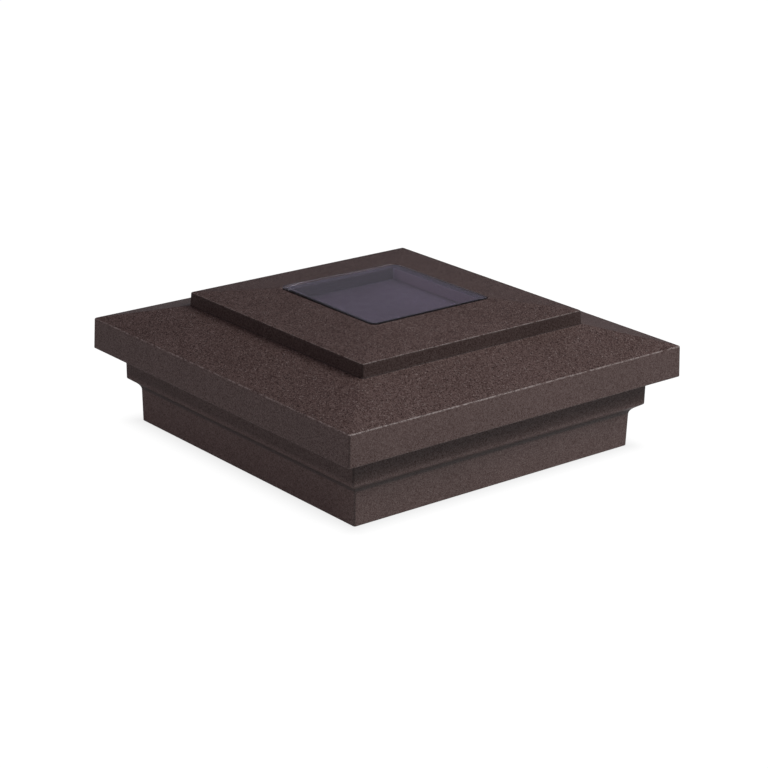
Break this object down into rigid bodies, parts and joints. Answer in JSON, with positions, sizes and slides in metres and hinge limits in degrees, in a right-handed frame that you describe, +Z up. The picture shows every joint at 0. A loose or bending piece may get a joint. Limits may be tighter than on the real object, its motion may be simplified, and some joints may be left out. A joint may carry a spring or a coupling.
{
  "type": "solar post cap light",
  "caption": "Square two-step cap that sleeves the end of a post, with a solar window on top and light shining down from under the overhang.",
  "frame": {"origin": "centre of the skirt's rim, at its lowest level", "axes": "+Z up along the post; -Y is the side over the battery door's hinge, and X runs along the battery"},
  "size_m": [0.1306, 0.1306, 0.0469],
  "materials": {
    "bronze_coat": "fine textured bronze powder coat with small metallic flakes",
    "clear_cover": "clear gloss",
    "black_rubber": "matt",
    "silicon": "laminated silicon cell",
    "board_green": "satin solder mask",
    "board_white": "satin solder mask",
    "black_plastic": "fine moulded texture",
    "frosted_plastic": "frosted translucent",
    "zinc": "bright zinc plate",
    "nickel": "nickel plate",
    "cell_wrap": "shrink sleeve",
    "red_lead": "wire insulation",
    "black_lead": "wire insulation",
    "foam": "closed-cell foam",
    "phosphor": "warm white LED package",
    "ferrite": "moulded",
    "knob_white": "satin"
  },
  "bodies": {
    "cap": {"top_cap": "bronze_coat", "skirt": "bronze_coat", "panel_cover": "clear_cover", "cover_gasket": "black_rubber", "solar_cell": "silicon", "cell_board": "board_green", "housing_tray": "black_plastic", "door_gasket": "black_rubber", "housing_screw_1": "zinc", "housing_screw_2": "zinc", "housing_screw_3": "zinc", "housing_screw_4": "zinc", "skirt_screw_1": "zinc", "skirt_screw_2": "zinc", "skirt_screw_3": "zinc", "skirt_screw_4": "zinc", "diffuser_ring": "frosted_plastic", "led_board_front": "board_white", "led_board_right": "board_white", "led_board_back": "board_white", "led_board_left": "board_white", "led_front_1": "phosphor", "led_front_2": "phosphor", "led_right_1": "phosphor", "led_right_2": "phosphor", "led_back_1": "phosphor", "led_back_2": "phosphor", "led_left_1": "phosphor", "led_left_2": "phosphor", "board_spacer_1": "frosted_plastic", "board_spacer_2": "frosted_plastic", "board_spacer_3": "frosted_plastic", "board_spacer_4": "frosted_plastic", "main_board": "board_green", "driver_chip": "ferrite", "power_inductor": "ferrite", "storage_capacitor": "nickel", "switch_body": "black_plastic", "battery": "cell_wrap", "plus_contact": "nickel", "minus_contact": "nickel", "contact_spring": "nickel", "solar_lead_plus": "red_lead", "solar_lead_minus": "black_lead", "battery_lead_plus": "red_lead", "battery_lead_minus": "black_lead", "led_feed_lead": "black_lead", "led_lead_back_right": "black_lead", "led_lead_right_front": "black_lead", "led_lead_back_left": "black_lead", "grip_pad_front": "foam", "grip_pad_right": "foam", "grip_pad_back": "foam", "grip_pad_left": "foam"},
    "door": {"battery_door": "black_plastic", "door_screw": "zinc"},
    "knob": {"switch_knob": "knob_white"}
  },
  "joints": [
    {"name": "battery_door_hinge", "type": "hinge", "parent": "cap", "child": "door", "pos_m": [0, -0.0353, 0.02385], "axis": [-1, 0, 0], "range_deg": [0, 95]},
    {"name": "power_switch_slide", "type": "slide", "parent": "cap", "child": "knob", "axis": [1, 0, 0], "range_m": [0, 0.0022]}
  ]
}
